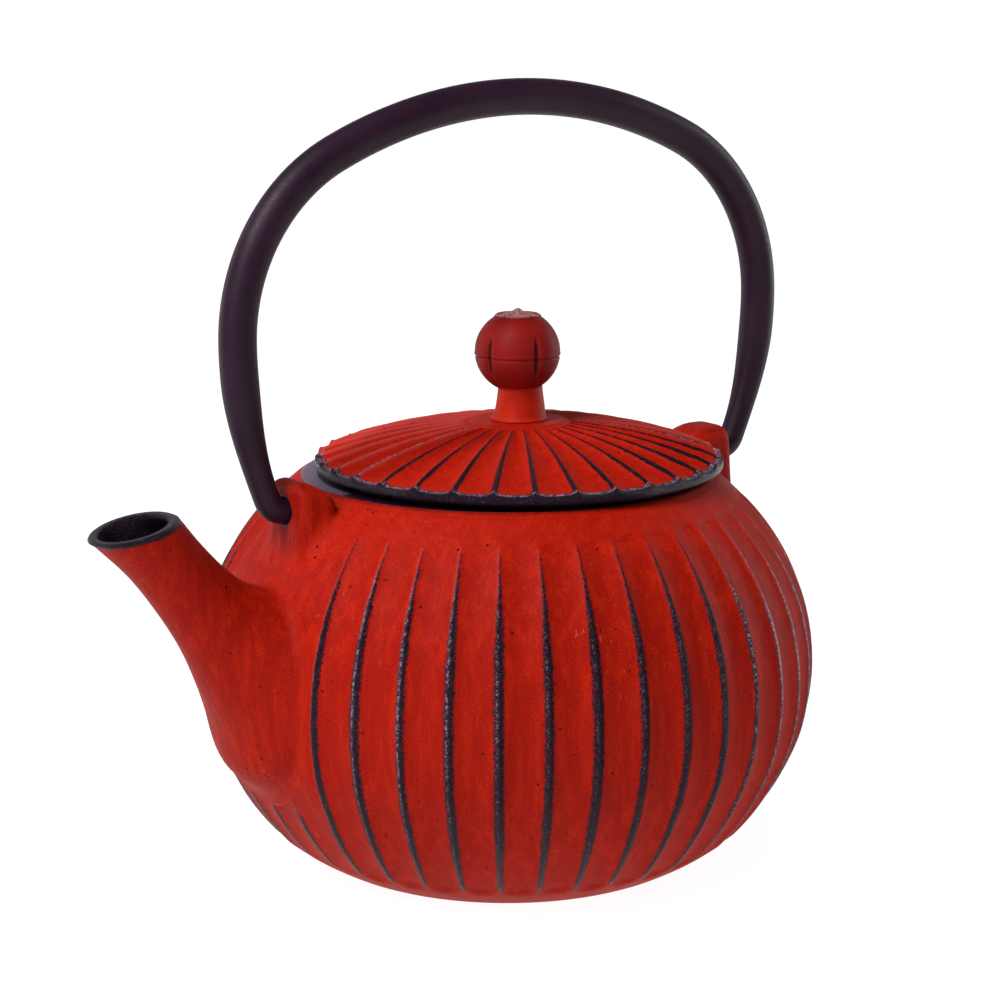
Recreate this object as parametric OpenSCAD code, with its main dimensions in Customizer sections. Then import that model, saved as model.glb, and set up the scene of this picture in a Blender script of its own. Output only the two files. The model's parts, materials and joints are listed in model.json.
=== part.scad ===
// Cast iron teapot: fluted body, fluted lid with knob, bail handle,
// removable stainless strainer. Millimetres, +Z up, +X toward the spout,
// origin at the centre of the foot, on the table.

/* [Body] */
// Largest radius of the body, over the ribs
body_r = 74.4; // [72:0.2:78]
// Height of the widest part
belly_z = 46.5; // [45:0.5:48]
// Vertical half axis of the body oval
body_h = 62.65; // [62:0.1:64]
// Height of the mouth rim
mouth_z = 93; // [92.6:0.1:93.4]
// Bore of the mouth above the strainer ledge
mouth_bore_r = 41.5; // [41.2:0.1:42]
// Outer radius of the foot ring
foot_r = 46; // [44:0.5:48]
// Depth of the recess under the foot
foot_recess = 1.5; // [1:0.1:2]

/* [Ribs] */
// Number of ribs round the full body
rib_n = 42; // [36:2:44]
// Width of a body rib
rib_w = 2.8; // [2.2:0.1:3.2]
// Height of a body rib above the flutes
rib_h = 1.2; // [0.8:0.1:1.5]
// Height of the rib tops
rib_top = 88; // [86:0.5:88.5]
// Height of the lower rib ends
rib_foot = 7; // [6:0.5:9]
// Ribs left out on each side of the spout
rib_skip = 2; // [2:1:3]

/* [Spout] */
// Distance of the lip centre from the axis
lip_x = 101; // [99:0.5:103]
// Height of the lip centre
lip_z = 92; // [91:0.5:93]
// Outer radius of the lip
lip_r = 10.2; // [9.8:0.1:10.6]
// Radius of the opening at the lip
lip_bore_r = 7.4; // [6.8:0.1:7.8]
// Outward tilt of the lip
lip_tilt = 13.4; // [10:0.2:16]

/* [Lugs and handle] */
// Height of the handle pins
pin_z = 91; // [90.5:0.1:91.5]
// Radius of the handle pins
pin_r = 2.9; // [2.7:0.05:3]
// Radius of the holes in the lugs
lug_hole_r = 3.3; // [3.2:0.05:3.5]
// Width of a lug
lug_w = 15; // [14:0.5:16]
// Height of the lug tops
lug_top = 97.8; // [97.4:0.1:98.6]
// Distance from the middle to a lug's outer face
lug_face = 64.2; // [63.8:0.1:64.4]
// Sideways offset of the lug pair
lug_shift = -1.6; // [-1.8:0.1:-1.4]
// Radius of the handle rod
rod_r = 4.3; // [4:0.1:4.5]
// Half width of the handle at its widest, on the rod centre
handle_half = 76.6; // [76:0.1:77.5]
// Height of the rod centre at the top of the handle
handle_top = 182; // [181:0.5:183]
// Length of a handle pin
pin_len = 5.6; // [5:0.1:6.4]
// Sideways play taken up by the handle
handle_shift = -2.9; // [-3:0.1:-2.8]
// Radius of the front leg's curve
front_leg_r = 115; // [112:1:118]
// Radius of the rear leg's curve
rear_leg_r = 86; // [84:1:90]

/* [Lid] */
// Radius of the lid
lid_r = 49.1; // [48.8:0.1:49.5]
// Thickness of the lid edge
lid_edge = 2.5; // [2.2:0.1:2.8]
// Number of lid ribs
lid_rib_n = 32; // [28:1:34]
// Rise of the dome above the lid edge
dome_h = 8.2; // [7.5:0.1:8.8]
// How far the lid rests off centre
lid_off = 2.9; // [2.5:0.1:3]
// Direction of that offset, degrees from the spout
lid_off_dir = 144; // [140:1:148]

/* [Strainer] */
// Radius of the strainer basket
basket_r = 37; // [36.6:0.1:37.2]
// Height of the underside of the basket
basket_z = 32; // [28:1:40]
// Thickness of the sheet parts
sheet = 0.5; // [0.4:0.1:0.6]

/* [Hidden] */
$fn = 64;
eps = 0.01;
flute_r = body_r - rib_h;            // body radius at the flute bottoms
flute_h = body_h - rib_h;
inner_r = 70.4;
inner_up = 51.5;
inner_down = 58.5;
floor_z = 4.5;
ledge_z = 90.6;                      // strainer ledge in the mouth
ledge_r = 38.6;
edge_top = mouth_z + 1.5 + lid_edge; // top of the lid edge band
edge_bot = mouth_z + 1.5;
rib_step = 360 / rib_n;
lid_x = lid_off * cos(lid_off_dir);
lid_y = lid_off * sin(lid_off_dir);
apex_z = edge_top + dome_h;

iron = "#b3150c";
black = "#17131a";
steel = "#c9cbcd";

// Radius of an oval of half axes a, b centred at the belly, at height z.
function oval(a, b, z) = a * sqrt(max(0, 1 - pow((z - belly_z) / b, 2)));
// Points of that oval from z0 to z1 in n steps.
function arc_pts(a, b, z0, z1, n) =
    [for (i = [0:n]) let (z = z0 + (z1 - z0) * i / n) [oval(a, b, z), z]];

// Heights that part the pot casting into its nodes.
base_cut = rib_foot - 0.6;
belly_cut = (rib_foot + rib_top) / 2;
rim_cut = rib_top + 0.6;

// Outer line of the casting, from the foot to the mouth: plain at rib height
// next to the foot and at the shoulder, with the flutes' level in between.
foot_line = arc_pts(body_r, body_h, 3, base_cut, 2);
belly_line = arc_pts(flute_r, flute_h, rib_foot + 0.2, belly_cut, 9);
shoulder_line = arc_pts(flute_r, flute_h, belly_cut, rib_top - 0.2, 9);
rim_line = concat(arc_pts(body_r, body_h, rim_cut, mouth_z - 0.7, 3),
                  [[oval(body_r, body_h, mouth_z) - 0.4, mouth_z]]);
outline = concat(foot_line, belly_line,
                 [for (i = [1:9]) shoulder_line[i]], rim_line);

// Inner line of the casting between two heights, downwards.
function inner_low(z1, z0, n) = arc_pts(inner_r, inner_down, z1, z0, n);
function inner_high(z1, z0, n) = arc_pts(inner_r, inner_up, z1, z0, n);

// Solid of the casting outline, used to cut what grows out of it.
module casting_solid() {
    rotate_extrude($fn = 128)
        polygon(concat([[0, 0], [foot_r, 0]], outline, [[0, mouth_z]]));
}

// Ribs between two heights: flat bars that follow the body outline, with
// their ends sloped where a rib starts or stops.
module ribs(z0, z1, slope0, slope1) {
    for (i = [rib_skip:rib_n - 1 - rib_skip])
        rotate([0, 0, (i + 0.5) * rib_step]) rotate([90, 0, 0])
            linear_extrude(rib_w, center = true)
                polygon(concat(
                    arc_pts(body_r, body_h, z0, z1, 9),
                    arc_pts(flute_r - 0.8, flute_h - 0.8, z1 - slope1, z0 + slope0, 6)));
}

// Axis of the spout: tip, elbow and root, in the XZ plane.
elbow_x = 91.5;
elbow_z = 81;
root_x = 66;
root_z = 52;

// A cone between two points of the XZ plane.
module cone_xz(x0, z0, r0, x1, z1, r1) {
    len = norm([x1 - x0, z1 - z0]);
    translate([x0, 0, z0]) rotate([0, atan2(x1 - x0, z1 - z0), 0])
        cylinder(h = len, r1 = r0, r2 = r1);
}

module spout_outer() {
    translate([63, 0, 50]) sphere(r = 21);
    cone_xz(root_x, root_z, 17, elbow_x, elbow_z, 9.1);
    translate([elbow_x, 0, elbow_z]) sphere(r = 9.4);
    cone_xz(elbow_x, elbow_z, 9.1, lip_x + 4, lip_z + 4.8, lip_r + 0.5);
}

module spout_bore() {
    cone_xz(root_x - 16, root_z - 10, 6.6, elbow_x, elbow_z, 6.2);
    translate([elbow_x, 0, elbow_z]) sphere(r = 6.5);
    cone_xz(elbow_x, elbow_z, 6.2, lip_x + 4, lip_z + 4.8, lip_bore_r + 0.4);
}

// Raw block of a lug standing on the shoulder, side = 1 front, -1 rear.
module lug_block(side) {
    x1 = lug_shift + side * lug_face;
    x0 = side * 50.5;
    translate([0, lug_w / 2, 0]) rotate([90, 0, 0]) linear_extrude(lug_w)
        polygon([[x0, 86], [x1, 84], [x1, lug_top - 2],
                 [x1 - side * 1.2, lug_top - 0.5], [x1 - side * 2.5, lug_top],
                 [x1 - side * 4.5, lug_top - 0.3], [x1 - side * 8.5, 94.4],
                 [x0, 93.8]]);
}

module lug(side) {
    difference() {
        intersection() {
            lug_block(side);
            // rounds the two upper corners
            translate([side * 50 - 20, 0, 0]) rotate([0, 90, 0])
                translate([-91, 0, 0]) cylinder(r = 7.9, h = 40);
        }
        casting_solid();
        translate([side * 40, 0, pin_z]) rotate([0, side * 90, 0])
            cylinder(r = lug_hole_r, h = 40);
        // room for the lid edge, which overhangs the rim
        translate([0, 0, mouth_z - 0.5]) cylinder(r = 52.4, h = 10);
    }
}

module pot_base() {
    color(iron) rotate_extrude($fn = 128) polygon(concat(
        [[0, foot_recess], [foot_r - 6, foot_recess], [foot_r - 5, 0], [foot_r, 0]],
        foot_line, inner_low(base_cut, floor_z, 2), [[0, floor_z]]));
}

module pot_belly() {
    color(iron) {
        rotate_extrude($fn = 128) polygon(concat(
            [foot_line[2]], belly_line, inner_high(belly_cut, belly_z, 1),
            inner_low(belly_z - 4, base_cut, 8)));
        ribs(base_cut, belly_cut, 1.2, 0);
    }
}

module pot_shoulder() {
    color(iron) difference() {
        union() {
            rotate_extrude($fn = 128) polygon(concat(
                shoulder_line, [rim_line[0]], inner_high(rim_cut, belly_cut, 9)));
            difference() {
                ribs(belly_cut, rim_cut, 0, 1.2);
                for (s = [1, -1]) translate([s * 60, 0, 93])
                    cube([30, lug_w + 1, 18], center = true);
            }
        }
        spout_bore();
    }
}

module pot_rim() {
    color(iron) rotate_extrude($fn = 128) polygon(concat(
        rim_line, [[mouth_bore_r, mouth_z], [mouth_bore_r, ledge_z],
                   [ledge_r, ledge_z], [ledge_r, rim_cut + 0.6]],
        [inner_high(rim_cut, belly_cut, 9)[0]]));
}

module spout() {
    color(iron) difference() {
        spout_outer();
        casting_solid();
        spout_bore();
        translate([lip_x, 0, lip_z]) rotate([0, lip_tilt, 0])
            translate([-20, -20, 0]) cube([40, 40, 20]);
    }
}

module front_lug() { color(iron) lug(1); }

module rear_lug() { color(iron) lug(-1); }

// Outline of the lid dome.
function dome(r) = edge_top + dome_h * (1 - pow(r / (lid_r - 0.6), 2.1));

module lid_section() {
    polygon(concat(
        [[2.3, apex_z - 3.4], [2.3, apex_z + 0.5], [10.5, apex_z + 0.5], [12, apex_z]],
        [for (r = [16:4:lid_r - 5]) [r, dome(r)]],
        [[lid_r - 0.9, edge_top], [lid_r, edge_top - 0.6], [lid_r, edge_bot + 0.5],
         [lid_r - 0.5, edge_bot], [45.4, edge_bot], [45, mouth_z], [33.3, mouth_z],
         [33.3, mouth_z - 7], [31.3, mouth_z - 7], [31, mouth_z + 2]],
        [for (r = [28:-6:10]) [r, dome(r) - 3.2]],
        [[7, apex_z - 3.4]]));
}

module lid_rib(a) {
    rotate([0, 0, a]) rotate([90, 0, 0]) linear_extrude(0.9, center = true)
        polygon(concat(
            [for (r = [13:5:lid_r - 1]) [r, dome(r) + 0.55]],
            [[lid_r - 0.3, edge_top + 0.55], [lid_r - 0.3, edge_top - 0.8],
             [44, edge_top - 0.8], [30, dome(30) - 1], [13, dome(13) - 1]]));
}

module lid() {
    color(iron) translate([lid_x, lid_y, 0]) {
        rotate_extrude($fn = 128) lid_section();
        for (i = [0:lid_rib_n - 1]) lid_rib((i + 0.5) * 360 / lid_rib_n);
    }
}

knob_z = apex_z + 16.8;                // equator of the knob ball
knob_r = 10.3;

module knob() {
    seat = apex_z + 0.5;
    color(iron) translate([lid_x, lid_y, 0]) {
        difference() {
            union() {
                translate([0, 0, seat]) cylinder(r1 = 6.3, r2 = 5.3, h = 8);
                intersection() {
                    translate([0, 0, knob_z]) sphere(r = knob_r);
                    translate([-15, -15, knob_z - 8.8]) cube([30, 30, 17.4]);
                }
            }
            for (i = [0:4]) rotate([0, 0, 72 * i + 36])
                translate([knob_r + 0.2, 0, knob_z]) rotate([90, 0, 0])
                    translate([-knob_r - 0.2, 0, 0]) rotate([0, 0, -50])
                        rotate_extrude(angle = 100) translate([knob_r + 0.25, 0])
                            circle(r = 0.8, $fn = 16);
            translate([0, 0, seat - 1]) cylinder(r = 2.05, h = 9);
        }
        // flower on the flat top
        translate([0, 0, knob_z + 8.6]) {
            cylinder(r = 3, h = 0.8);
            for (i = [0:4]) rotate([0, 0, 72 * i]) translate([3.4, 0, 0])
                cylinder(r1 = 2.4, r2 = 1.7, h = 1);
            cylinder(r1 = 1.4, r2 = 0.3, h = 2.4);
        }
    }
}

module knob_screw() {
    z0 = apex_z - 3.4 - 0.8;
    color(steel) translate([lid_x, lid_y, 0]) difference() {
        union() {
            translate([0, 0, z0]) cylinder(r = 2, h = 11);
            translate([0, 0, z0 - 2.2]) cylinder(r1 = 3.4, r2 = 4, h = 2.2);
        }
        translate([-5, -0.5, z0 - 3]) cube([10, 1, 2]);
    }
}

module knob_washer() {
    color(steel) translate([lid_x, lid_y, apex_z - 4.2]) difference() {
        cylinder(r = 6, h = 0.8);
        translate([0, 0, -1]) cylinder(r = 2.15, h = 3);
    }
}

// Handle rod centre line, half of it from the crown to a pin: four arcs in a
// row, each with a centre, a radius and the turn angles it covers.
side_r = 45;
bend_r = 4.5;
widest_z = 130;
side_c = handle_half - side_r;
rise = handle_top - widest_z;
crown_r = (side_c * side_c + rise * rise - side_r * side_r) / (2 * (rise - side_r));
join_a = atan2(side_c, widest_z - (handle_top - crown_r));
rod_sides = 24;
// Turn angle of a leg of radius r, and where its pin starts.
function leg_a(r) = asin((widest_z - pin_z - bend_r) / (r - bend_r));
function pin_start(r) = handle_half - r + (r - bend_r) * cos(leg_a(r));

// One ring centre, turn angle and radius per entry.
function arc(c, r, a0, a1, n, r0, r1) = [for (i = [1:n])
    let (t = i / n, a = a0 + (a1 - a0) * t)
    [c[0] + r * sin(a), c[1] + r * cos(a), a, r0 + (r1 - r0) * t * t]];
function half_path(r) = concat(
    arc([0, handle_top - crown_r], crown_r, 0, join_a, 5, rod_r, rod_r),
    arc([side_c, widest_z], side_r, join_a, 90, 7, rod_r, rod_r),
    arc([handle_half - r, widest_z], r, 90, 90 + leg_a(r), 6, rod_r, pin_r),
    arc([pin_start(r), pin_z + bend_r], bend_r, 90 + leg_a(r), 180, 6, pin_r, pin_r),
    [[pin_start(r) - pin_len, pin_z, 180, pin_r]]);
front = half_path(front_leg_r);
rear = half_path(rear_leg_r);
path = concat([for (i = [len(rear) - 1:-1:0])
                   [-rear[i][0], rear[i][1], -rear[i][2], rear[i][3]]],
              [[0, handle_top, 0, rod_r]], front);
rings = len(path);

module rod() {
    pts = [for (p = path) for (k = [0:rod_sides - 1])
        let (w = 360 * k / rod_sides)
        [p[0] + p[3] * cos(w) * sin(p[2]), p[3] * sin(w),
         p[1] + p[3] * cos(w) * cos(p[2])]];
    last = (rings - 1) * rod_sides;
    faces = concat(
        [for (i = [0:rings - 2]) for (k = [0:rod_sides - 1])
            let (a = i * rod_sides + k, b = i * rod_sides + (k + 1) % rod_sides)
            [a, b, b + rod_sides, a + rod_sides]],
        [[for (k = [rod_sides - 1:-1:0]) k]],
        [[for (k = [0:rod_sides - 1]) last + k]]);
    polyhedron(points = pts, faces = faces, convexity = 6);
}

module bail_handle() {
    color(black) translate([handle_shift, 0, 0]) rod();
}

module strainer_rim() {
    color(steel) rotate_extrude($fn = 96) polygon([
        [basket_r, ledge_z + sheet + 0.1], [basket_r, ledge_z - 8],
        [basket_r + sheet, ledge_z - 8], [basket_r + sheet, ledge_z],
        [41, ledge_z], [41, ledge_z + sheet], [basket_r + 0.5, ledge_z + sheet + 0.1]]);
}

module strainer_wall() {
    color(steel) translate([0, 0, basket_z + sheet]) difference() {
        cylinder(r = basket_r, h = ledge_z - basket_z - 2, $fn = 96);
        translate([0, 0, -1]) cylinder(r = basket_r - sheet, h = 80, $fn = 96);
    }
}

module strainer_base() {
    color(steel) translate([0, 0, basket_z + sheet])
        cylinder(r = basket_r - sheet, h = sheet, $fn = 96);
}

module strainer_hem() {
    color(steel) translate([0, 0, basket_z]) rotate_extrude($fn = 96) polygon([
        [basket_r - 2.5, 0], [basket_r + sheet, 0], [basket_r + sheet, 6],
        [basket_r, 6], [basket_r, sheet], [basket_r - 2.5, sheet]]);
}

pot_base();
pot_belly();
pot_shoulder();
pot_rim();
spout();
front_lug();
rear_lug();
lid();
knob();
knob_screw();
knob_washer();
bail_handle();
strainer_rim();
strainer_wall();
strainer_base();
strainer_hem();
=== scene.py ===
"""Cast iron teapot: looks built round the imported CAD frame."""

import json
import math

import bmesh
import bpy
import numpy as np
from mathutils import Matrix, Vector

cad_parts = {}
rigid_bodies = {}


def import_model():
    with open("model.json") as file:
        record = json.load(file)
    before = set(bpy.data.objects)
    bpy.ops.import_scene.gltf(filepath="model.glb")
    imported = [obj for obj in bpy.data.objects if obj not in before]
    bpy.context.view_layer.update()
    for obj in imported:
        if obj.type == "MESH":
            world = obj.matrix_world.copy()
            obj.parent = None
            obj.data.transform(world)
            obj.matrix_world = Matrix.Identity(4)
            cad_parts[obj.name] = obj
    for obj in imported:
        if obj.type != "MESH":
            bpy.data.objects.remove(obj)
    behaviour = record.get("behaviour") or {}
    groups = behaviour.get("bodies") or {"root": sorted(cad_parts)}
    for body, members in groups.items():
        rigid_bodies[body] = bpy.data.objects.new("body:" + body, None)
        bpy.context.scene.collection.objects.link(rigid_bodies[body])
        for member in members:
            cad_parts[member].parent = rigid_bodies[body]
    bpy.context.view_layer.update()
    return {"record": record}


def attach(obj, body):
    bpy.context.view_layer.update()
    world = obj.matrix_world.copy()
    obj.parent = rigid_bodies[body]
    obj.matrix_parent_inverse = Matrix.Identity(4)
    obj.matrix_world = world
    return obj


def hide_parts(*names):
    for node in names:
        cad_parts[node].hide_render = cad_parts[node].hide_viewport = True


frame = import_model()
MM = 0.001
TAU = 2 * math.pi

# ---------------------------------------------------------------- dimensions, mm
BODY_R, BODY_H, BELLY_Z = 74.4, 62.65, 46.5
MOUTH_Z, FOOT_RECESS = 93.0, 1.5
INNER_R, INNER_UP, INNER_DOWN = 70.4, 51.5, 58.5     # the oval inside the wall
RIB_N, RIB_TOP, RIB_FOOT = 42, 88.0, 5.0
FLUTE_DEPTH, SKIN = 1.25, 0.22                       # SKIN keeps the wall in the CAD's box
BODY_TURN, LID_TURN = -0.36, -0.33                   # how far the ribs are turned, in pitches
LUG_SHIFT, LUG_FACE, LUG_TOP, LUG_IN = -1.6, 64.2, 97.8, 52.6
PIN_Z, PIN_R, PIN_LEN, PIN_HOLE_R = 91.0, 2.9, 5.6, 3.3
HANDLE_HALF, HANDLE_TOP, WIDEST_Z = 76.6, 182.0, 130.0
ROD_R, SIDE_R, BEND_R = 4.3, 45.0, 4.5
FRONT_LEG_R, REAR_LEG_R = 100.0, 86.0
HANDLE_SHIFT = -2.9
RIGHT_AZ = math.radians(144)                         # azimuth of the picture's right
LID_OFF = (2.9 * math.cos(RIGHT_AZ), 2.9 * math.sin(RIGHT_AZ))
LID_R, LID_RIBS = 49.1, 32
EDGE_BOT, EDGE_TOP, DOME_H = 94.5, 97.0, 8.2
APEX_Z = EDGE_TOP + DOME_H
SEAT_Z = APEX_Z + 0.35                               # the flat under the knob
KNOB_Z, KNOB_R, KNOB_FLAT = APEX_Z + 16.8, 10.3, 0.965
RED_ONLY, ALL_BLACK = -5.0, 2.0                      # values of the mask of black and painted light


def oval(z, a=BODY_R, b=BODY_H):
    return a * np.sqrt(np.clip(1 - ((z - BELLY_Z) / b) ** 2, 0, None))


def smooth(lo, hi, x):
    t = np.clip((np.asarray(x, float) - lo) / (hi - lo), 0, 1)
    return t * t * (3 - 2 * t)


# ---------------------------------------------------------------- mesh helpers
def new_object(name, verts, faces, body, slot, attrs=None):
    """A closed, smooth mesh from points in mm, riding a body, with point masks."""
    mesh = bpy.data.meshes.new(name)
    mesh.from_pydata((np.asarray(verts, float) * MM).tolist(), [], faces)
    mesh.validate()
    bm = bmesh.new()
    bm.from_mesh(mesh)
    bmesh.ops.recalc_face_normals(bm, faces=bm.faces)
    bm.to_mesh(mesh)
    bm.free()
    mesh.polygons.foreach_set("use_smooth", [True] * len(mesh.polygons))
    for key, values in (attrs or {}).items():
        mask = mesh.attributes.new(key, "FLOAT", "POINT")
        mask.data.foreach_set("value", np.asarray(values, np.float32))
    obj = bpy.data.objects.new(name, mesh)
    bpy.context.scene.collection.objects.link(obj)
    if body:
        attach(obj, body)
    return obj


def points_mm(mesh):
    co = np.zeros(len(mesh.vertices) * 3)
    mesh.vertices.foreach_get("co", co)
    return co.reshape(-1, 3) / MM


def discard(obj):
    mesh = obj.data
    bpy.data.objects.remove(obj)
    bpy.data.meshes.remove(mesh)


def grid_faces(rows, cols, flip=False):
    """Quads between closed rings of points."""
    out = []
    for i in range(rows - 1):
        for j in range(cols):
            a = i * cols + j
            b = i * cols + (j + 1) % cols
            q = (a, b, b + cols, a + cols)
            out.append(q[::-1] if flip else q)
    return out


def end_caps(rows, cols):
    """The two faces that close the first and the last ring."""
    last = (rows - 1) * cols
    return [tuple(range(cols))[::-1], tuple(last + j for j in range(cols))]


def tube(points, radii, sides):
    """A round tube along points (n, 3), its rings turned with the least twist."""
    points = np.asarray(points, float)
    radii = np.broadcast_to(np.asarray(radii, float), (len(points),))
    tangent = np.gradient(points, axis=0)
    tangent /= np.linalg.norm(tangent, axis=1)[:, None]
    rings, n = [], np.array([0.0, 1.0, 0.0])
    for p, t, r in zip(points, tangent, radii):
        n = n - t * (n @ t)
        n /= np.linalg.norm(n)
        b = np.cross(t, n)
        w = np.arange(sides) * TAU / sides
        rings.append(p + r * (np.cos(w)[:, None] * n + np.sin(w)[:, None] * b))
    verts = np.concatenate(rings)
    return verts, grid_faces(len(points), sides) + end_caps(len(points), sides)


def cut(obj, verts, faces):
    """Takes a closed shape out of an object."""
    mesh = bpy.data.meshes.new("cutter")
    mesh.from_pydata((np.asarray(verts, float) * MM).tolist(), [], faces)
    cutter = bpy.data.objects.new("cutter", mesh)
    bpy.context.scene.collection.objects.link(cutter)
    mod = obj.modifiers.new("cut", "BOOLEAN")
    mod.operation = "DIFFERENCE"
    mod.solver = "EXACT"
    mod.object = cutter
    dg = bpy.context.evaluated_depsgraph_get()
    done = bpy.data.meshes.new_from_object(obj.evaluated_get(dg))
    obj.modifiers.remove(mod)
    old = obj.data
    obj.data = done
    bpy.data.meshes.remove(old)
    discard(cutter)


# ---------------------------------------------------------------- the pot casting
def pitch_columns(half, count, turn):
    """Column angles over all pitches, and each column's place within its pitch."""
    offsets = np.sort(np.concatenate([-half[:0:-1], half, [0.5]]))
    u = np.tile(offsets, count)
    k = np.repeat(np.arange(count), len(offsets))
    return (k + u + 0.5 + turn) * TAU / count, u, k


def plain_zone(phi, z):
    """0 where the wall stays plain, round the spout's root and under the lugs."""
    from_spout = np.degrees(np.abs((phi + math.pi) % TAU - math.pi))
    spout = np.maximum(smooth(16.5, 20.0, from_spout), 0.7 * smooth(31, 18, z))
    beside = smooth(7.5, 11.5, np.abs(np.sin(phi) * 57))
    return spout * (1 - (1 - beside) * smooth(80, 84, z))


def body_outer(phi, u, k, z):
    """The fluted wall's radius, how far inside a black rib each point lies, and
    how strongly a painted highlight lightens the rib's crest."""
    r0 = oval(z) - 3.6 * np.clip(1 - z / 9.0, 0, 1) ** 1.5
    r0 = r0 + 0.25 * smooth(50, 70, z) * smooth(92, 82, z)
    r0 = r0 - 0.35 * smooth(34, 22, z) * smooth(3, 10, z)
    pitch = TAU * r0 / RIB_N
    x = np.abs(u) * pitch
    t = np.abs(u) * 2
    arch = 1 - (1 - t) ** 2
    top = RIB_TOP - 1.0 + 1.2 * arch
    low = RIB_FOOT + 1.2 - 1.2 * arch
    ends = smooth(0, 1.1, top - z) * smooth(0, 2.2, z - low)
    ends = ends * (0.78 + 0.22 * smooth(0, 14, top - z))
    there = ends * plain_zone(phi, z)
    vary = np.random.default_rng(3).uniform(0.82, 1.12, RIB_N)[k]
    scoop = np.sqrt(arch ** 2 + 0.004) - 0.063
    bead = 0.2 * np.exp(-((x / 0.8) ** 2)) * there
    r = r0 - SKIN - FLUTE_DEPTH * there * scoop + bead
    half = 1.15 * vary * smooth(RIB_TOP - 0.5, RIB_TOP - 26, z) ** 0.8
    half = half * (0.5 + 0.5 * smooth(5, 26, z))
    wear = np.where(there > 0.02, half * smooth(0.3, 0.7, there) - x, RED_ONLY)
    wear = np.where(half < 0.02, -x - 0.3, wear)
    # painted highlight on the crests: grainy glints, and a paler line towards one side, where
    # the ribs turn to the side light
    turn = np.degrees((k + 0.5) * TAU / RIB_N)
    turned = smooth(98, 122, turn) * smooth(168, 150, turn)
    amount = 0.14 + 0.36 * smooth(72, 30, np.minimum(turn, 360 - turn)) + 0.86 * turned
    spread = 0.42 + 0.13 * turned
    amount = amount * (0.4 + 0.6 * np.exp(-(((z - 60) / 24) ** 2)))
    side = 0.45 * (1 - turned) - 0.22 * turned
    pale = amount * np.exp(-(((u * pitch + side) / spread) ** 2)) * there
    # painted highlight: on the turned ribs the black is narrowed too
    wear = np.where(wear > -4, wear - 0.62 * turned, wear)
    return r, wear, pale


def make_body():
    half = np.array([0.0, 0.035, 0.075, 0.12, 0.175, 0.25, 0.34, 0.43])
    phi, u, k = pitch_columns(half, RIB_N, BODY_TURN)
    cols = len(phi)
    cs, sn = np.cos(phi), np.sin(phi)
    low = math.acos((BELLY_Z - 0.8) / BODY_H)
    high = math.pi - math.acos((MOUTH_Z - 0.9 - BELLY_Z) / BODY_H)
    rings, black, pale = [], [], []

    def ring(r, z, wear, highlight_amount=0.0):
        rings.append(np.stack([r * cs, r * sn, np.full(cols, z)], 1))
        black.append(np.broadcast_to(wear, (cols,)).astype(float))
        pale.append(np.broadcast_to(highlight_amount, (cols,)).astype(float))

    for r, z in [(0.5, FOOT_RECESS), (12, FOOT_RECESS), (30, FOOT_RECESS),
                 (39.6, FOOT_RECESS), (40.2, 1.35), (40.9, 0.3), (41.3, 0.06),
                 (41.8, 0.0), (44, 0.0), (45.4, 0.0), (46.0, 0.08)]:
        ring(r, z, ALL_BLACK if r < 41 else RED_ONLY)
    for z in BELLY_Z - BODY_H * np.cos(np.linspace(low, high, 104)):
        r, wear, highlight_amount = body_outer(phi, u, k, np.full(cols, z))
        ring(r, z, wear, highlight_amount)
    rim = oval(MOUTH_Z)
    bare = smooth(0.3, 0.6, np.cos(phi + math.radians(70)))
    for r, z, wear in [(rim + 0.05, 92.45, RED_ONLY), (rim - 0.25, 92.8, bare - 0.9),
                       (rim - 0.7, 92.97, 3.5 * bare - 1.5),
                       (rim - 1.3, 93.0, 2.3 * bare - 0.3)]:
        ring(r, z, wear)
    # the flat of the rim, and the ledge that the strainer hangs on
    for r, z in [(46, 93.0), (42.2, 93.0), (41.7, 92.9), (41.5, 92.6), (41.5, 90.8),
                 (41.3, 90.6), (39, 90.6), (38.7, 90.5), (38.6, 90.1), (38.9, 89.2)]:
        ring(r, z, ALL_BLACK)
    for z in np.concatenate([np.linspace(86.5, 47, 9), np.linspace(40, 8, 7)]):
        half_h = INNER_UP if z > BELLY_Z else INNER_DOWN
        ring(float(oval(np.array(z), INNER_R, half_h)), z, ALL_BLACK)
    for r, z in [(47.5, 5.2), (45, 4.6), (41, 4.5), (20, 4.5), (0.5, 4.5)]:
        ring(r, z, ALL_BLACK)
    verts = np.concatenate(rings)
    faces = grid_faces(len(rings), cols) + end_caps(len(rings), cols)
    x, y, z = verts.T
    # painted shade: below the shoulder band the wall is darkened towards maroon, so the band
    # reads lit from above; the foot is lightened a little, as by light from the floor
    deep = 0.42 * smooth(89, 80, z) - 0.1 * smooth(30, 10, z)
    out = np.hypot(x, y)
    side = np.cos(np.arctan2(y, x) + math.radians(70))
    # painted sheen: the rim's top edge is lilac grey, widest on the side the shifted lid
    # leaves open
    deep = np.where((z > 92.75) & ((out > 47.9) | (out > 45) & (side > 0.3)), 1.0, deep)
    return new_object("pot_casting", verts, faces, None, None,
                      {"wear": np.concatenate(black), "deep": deep,
                       "pale": np.concatenate(pale)})


def oval_field(p):
    """The plain body oval's equation at points p (below 0 inside), and its slope."""
    r = np.hypot(p[..., 0], p[..., 1])
    value = (r / BODY_R) ** 2 + ((p[..., 2] - BELLY_Z) / BODY_H) ** 2 - 1
    slope = np.stack([2 * p[..., 0] / BODY_R ** 2, 2 * p[..., 1] / BODY_R ** 2,
                      2 * (p[..., 2] - BELLY_Z) / BODY_H ** 2], -1)
    return value, slope


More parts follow.
